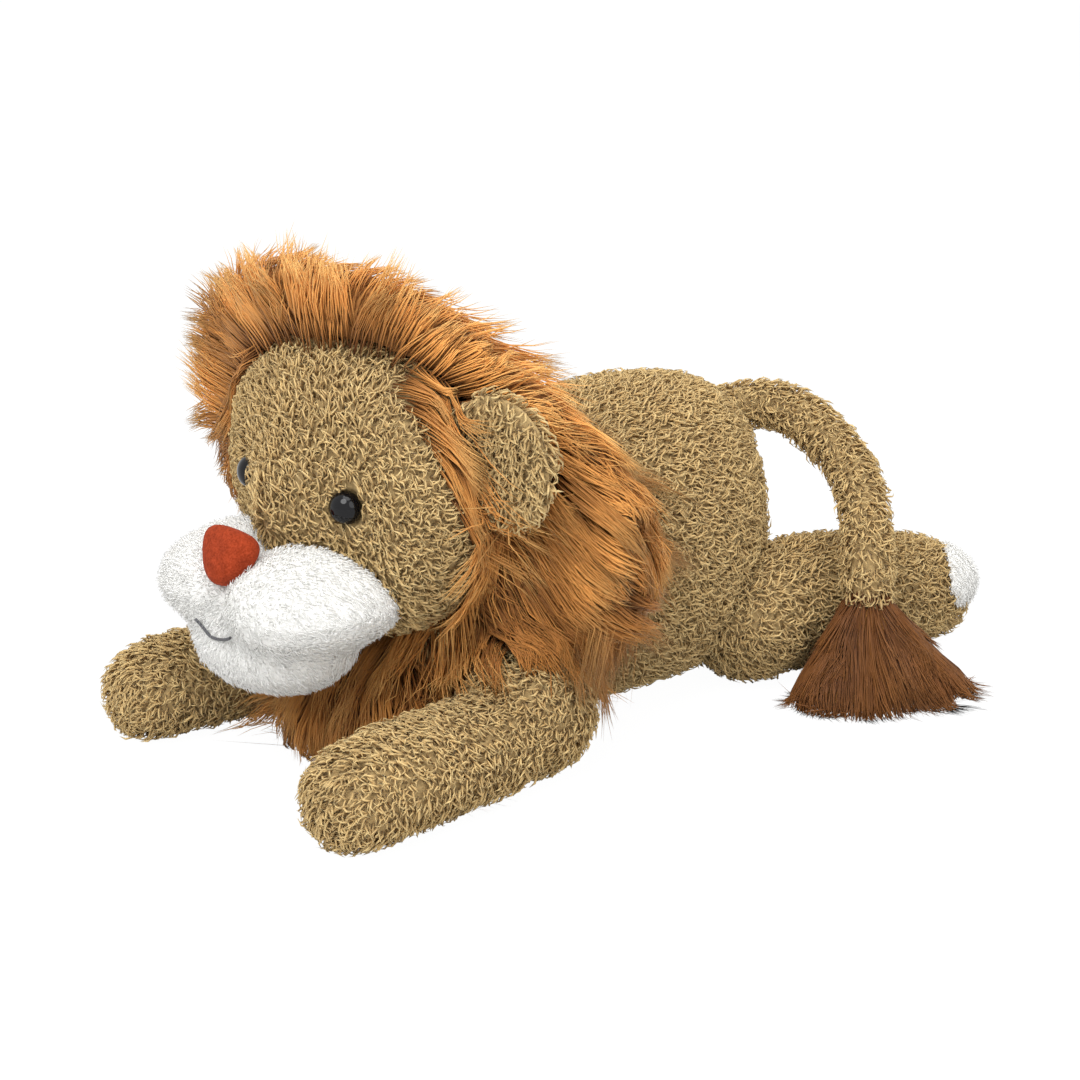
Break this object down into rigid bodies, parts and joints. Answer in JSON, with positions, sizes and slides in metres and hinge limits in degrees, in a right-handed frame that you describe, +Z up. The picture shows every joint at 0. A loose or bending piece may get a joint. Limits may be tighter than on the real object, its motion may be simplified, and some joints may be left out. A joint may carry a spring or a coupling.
{
  "type": "plush lion",
  "caption": "Stuffed plush lion lying on its belly, legs stretched out, with a long-pile mane, a white muzzle, round ears, safety eyes and an arched tail that ends in a tassel.",
  "frame": {"origin": "on the floor under the belly, on the lion's mid-plane, at the middle of the torso's flat", "axes": "+Z up, -Y forward out of the lion's face, +X towards the lion's left"},
  "size_m": [0.2349, 0.3404, 0.1853],
  "materials": {
    "tan_plush": "curly short pile, matt",
    "ginger_pile": "long straight pile, soft sheen",
    "white_plush": "short dense pile, matt",
    "red_velour": "velour, matt",
    "grey_thread": "twisted thread, matt",
    "black_gloss": "moulded, glossy",
    "white_plastic": "moulded, matt"
  },
  "bodies": {
    "torso": {"torso": "tan_plush", "mane_bib": "ginger_pile"},
    "head": {"head": "tan_plush", "muzzle_left": "white_plush", "muzzle_right": "white_plush", "chin": "white_plush", "nose": "red_velour", "mouth_stitch": "grey_thread", "eye_left": "black_gloss", "eye_right": "black_gloss", "eye_washer_left": "white_plastic", "eye_washer_right": "white_plastic", "mane_crown": "ginger_pile"},
    "ear_left": {"ear_left": "tan_plush"},
    "ear_right": {"ear_right": "tan_plush"},
    "foreleg_left": {"foreleg_left": "tan_plush"},
    "foreleg_right": {"foreleg_right": "tan_plush"},
    "hind_leg_left": {"hind_leg_left": "tan_plush", "sole_left": "white_plush"},
    "hind_leg_right": {"hind_leg_right": "tan_plush", "sole_right": "white_plush"},
    "tail": {"tail": "tan_plush", "tail_tassel": "ginger_pile"}
  },
  "joints": [
    {"name": "head_turn", "type": "hinge", "parent": "torso", "child": "head", "pos_m": [0, -0.078, 0.105], "axis": [0, 0, 1], "range_deg": [-8, 8], "stiffness_Nm_per_rad": 0.01},
    {"name": "ear_left_fold", "type": "hinge", "parent": "head", "child": "ear_left", "pos_m": [0.05472, -0.09999, 0.1275], "axis": [0, 0, 1], "range_deg": [-12, 12], "stiffness_Nm_per_rad": 0.002},
    {"name": "ear_right_fold", "type": "hinge", "parent": "head", "child": "ear_right", "pos_m": [-0.05472, -0.09999, 0.1275], "axis": [0, 0, 1], "range_deg": [-12, 12], "stiffness_Nm_per_rad": 0.002},
    {"name": "foreleg_left_swing", "type": "hinge", "parent": "torso", "child": "foreleg_left", "pos_m": [0.0565, -0.069, 0.0245], "axis": [0, 0, 1], "range_deg": [0, 20], "stiffness_Nm_per_rad": 0.01},
    {"name": "foreleg_right_swing", "type": "hinge", "parent": "torso", "child": "foreleg_right", "pos_m": [-0.0565, -0.069, 0.0245], "axis": [0, 0, 1], "range_deg": [-20, 0], "stiffness_Nm_per_rad": 0.01},
    {"name": "hind_leg_left_swing", "type": "hinge", "parent": "torso", "child": "hind_leg_left", "pos_m": [0.0375, 0.062, 0.0275], "axis": [0, 0, 1], "range_deg": [0, 12], "stiffness_Nm_per_rad": 0.01},
    {"name": "hind_leg_right_swing", "type": "hinge", "parent": "torso", "child": "hind_leg_right", "pos_m": [-0.0375, 0.062, 0.0275], "axis": [0, 0, 1], "range_deg": [-30, 0], "stiffness_Nm_per_rad": 0.01},
    {"name": "tail_lift", "type": "hinge", "parent": "torso", "child": "tail", "pos_m": [0, 0.077, 0.101], "axis": [0, -1, 0], "range_deg": [0, 60]}
  ]
}
